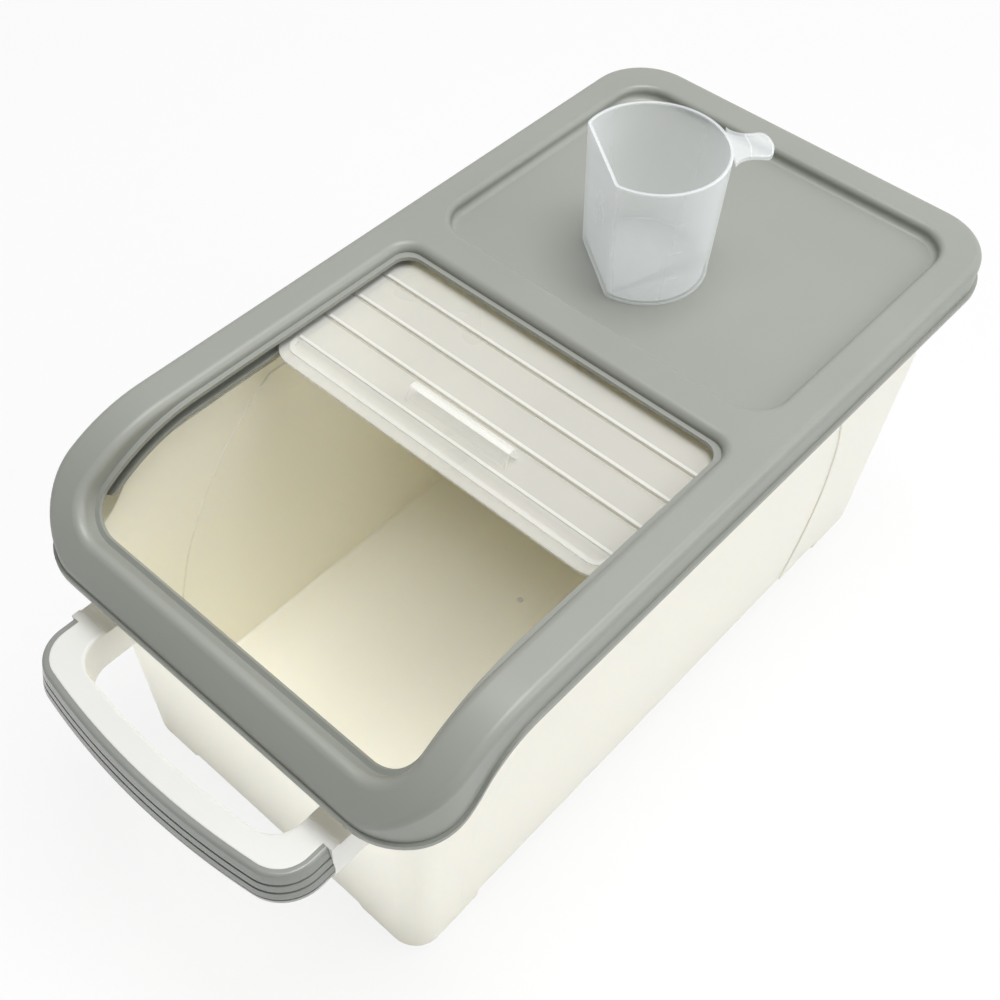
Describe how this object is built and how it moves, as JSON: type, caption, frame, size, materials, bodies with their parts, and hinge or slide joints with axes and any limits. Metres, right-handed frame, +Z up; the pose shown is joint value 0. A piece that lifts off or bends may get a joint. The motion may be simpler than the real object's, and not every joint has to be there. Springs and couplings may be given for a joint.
{
  "type": "rice storage bin",
  "caption": "White storage bin for rice with a grey lift-off lid, a clear ribbed sliding door that bends down at the front, a cup in the lid's tray, a front pull handle and wheels.",
  "frame": {"origin": "middle of the bin's outline, on the floor under the wheels", "axes": "+X to the right seen from the handle, -Y towards the handle, +Z up"},
  "size_m": [0.233, 0.4598, 0.262],
  "materials": {
    "tub_white": "cream white polypropylene, satin",
    "handle_white": "white polypropylene, satin",
    "lid_grey": "grey polypropylene with a fine grain",
    "grip_grey": "darker grey, smooth",
    "door_clear": "frosted clear polypropylene",
    "cup_clear": "frosted clear polypropylene",
    "wheel_grey": "grey nylon",
    "pin_steel": "bright steel pin"
  },
  "bodies": {
    "base": {"tub": "tub_white", "handle_frame": "handle_white", "handle_grip": "grip_grey", "axle_pin_front_left": "pin_steel", "axle_pin_front_right": "pin_steel", "axle_pin_rear_left": "pin_steel", "axle_pin_rear_right": "pin_steel"},
    "cover": {"lid": "lid_grey", "left_guide_rail": "lid_grey", "right_guide_rail": "lid_grey"},
    "door": {"door_rear_panel": "door_clear"},
    "door_front_lip": {"door_front_lip": "door_clear"},
    "door_slat_1": {"door_slat_1": "door_clear"},
    "door_slat_2": {"door_slat_2": "door_clear"},
    "door_slat_3": {"door_slat_3": "door_clear"},
    "cup": {"measuring_cup": "cup_clear"},
    "wheel_front_left": {"wheel_front_left": "wheel_grey"},
    "wheel_front_right": {"wheel_front_right": "wheel_grey"},
    "wheel_rear_left": {"wheel_rear_left": "wheel_grey"},
    "wheel_rear_right": {"wheel_rear_right": "wheel_grey"}
  },
  "joints": [
    {"name": "lid_lift", "type": "slide", "parent": "base", "child": "cover", "axis": [0, 0, 1], "range_m": [0, 0.15]},
    {"name": "cup_lift", "type": "slide", "parent": "cover", "child": "cup", "axis": [0, 0, 1], "range_m": [0, 0.1]},
    {"name": "door_close", "type": "slide", "parent": "cover", "child": "door", "axis": [0, -1, 0], "range_m": [0, 0.12]},
    {"name": "door_front_lip_bend", "type": "hinge", "parent": "cover", "child": "door_front_lip", "pos_m": [0, -0.08026, 0.04532], "axis": [1, 0, 0], "range_deg": [0, 45.65], "deforming": ["door_front_lip"]},
    {"name": "door_slat_1_bend", "type": "hinge", "parent": "cover", "child": "door_slat_1", "pos_m": [0, -0.07162, -0.00439], "axis": [1, 0, 0], "range_deg": [0, 34.33], "deforming": ["door_slat_1"]},
    {"name": "door_slat_2_bend", "type": "hinge", "parent": "cover", "child": "door_slat_2", "pos_m": [0, -0.06185, -0.12445], "axis": [1, 0, 0], "range_deg": [0, 21.52], "deforming": ["door_slat_2"]},
    {"name": "door_slat_3_bend", "type": "hinge", "parent": "cover", "child": "door_slat_3", "pos_m": [0, -0.05131, -0.59681], "axis": [1, 0, 0], "range_deg": [0, 8.72], "deforming": ["door_slat_3"]},
    {"name": "wheel_front_left_spin", "type": "hinge", "parent": "base", "child": "wheel_front_left", "pos_m": [-0.079, -0.1463, 0.008], "axis": [1, 0, 0], "continuous": true},
    {"name": "wheel_front_right_spin", "type": "hinge", "parent": "base", "child": "wheel_front_right", "pos_m": [0.079, -0.1463, 0.008], "axis": [1, 0, 0], "continuous": true},
    {"name": "wheel_rear_left_spin", "type": "hinge", "parent": "base", "child": "wheel_rear_left", "pos_m": [-0.079, 0.1784, 0.008], "axis": [1, 0, 0], "continuous": true},
    {"name": "wheel_rear_right_spin", "type": "hinge", "parent": "base", "child": "wheel_rear_right", "pos_m": [0.079, 0.1784, 0.008], "axis": [1, 0, 0], "continuous": true}
  ],
  "couplings": [
    {"joint": "door_front_lip_bend", "follows": "door_close", "rad_per_m": 6.6373},
    {"joint": "door_slat_1_bend", "follows": "door_close", "rad_per_m": 4.9902},
    {"joint": "door_slat_2_bend", "follows": "door_close", "rad_per_m": 3.1275},
    {"joint": "door_slat_3_bend", "follows": "door_close", "rad_per_m": 1.2647}
  ]
}
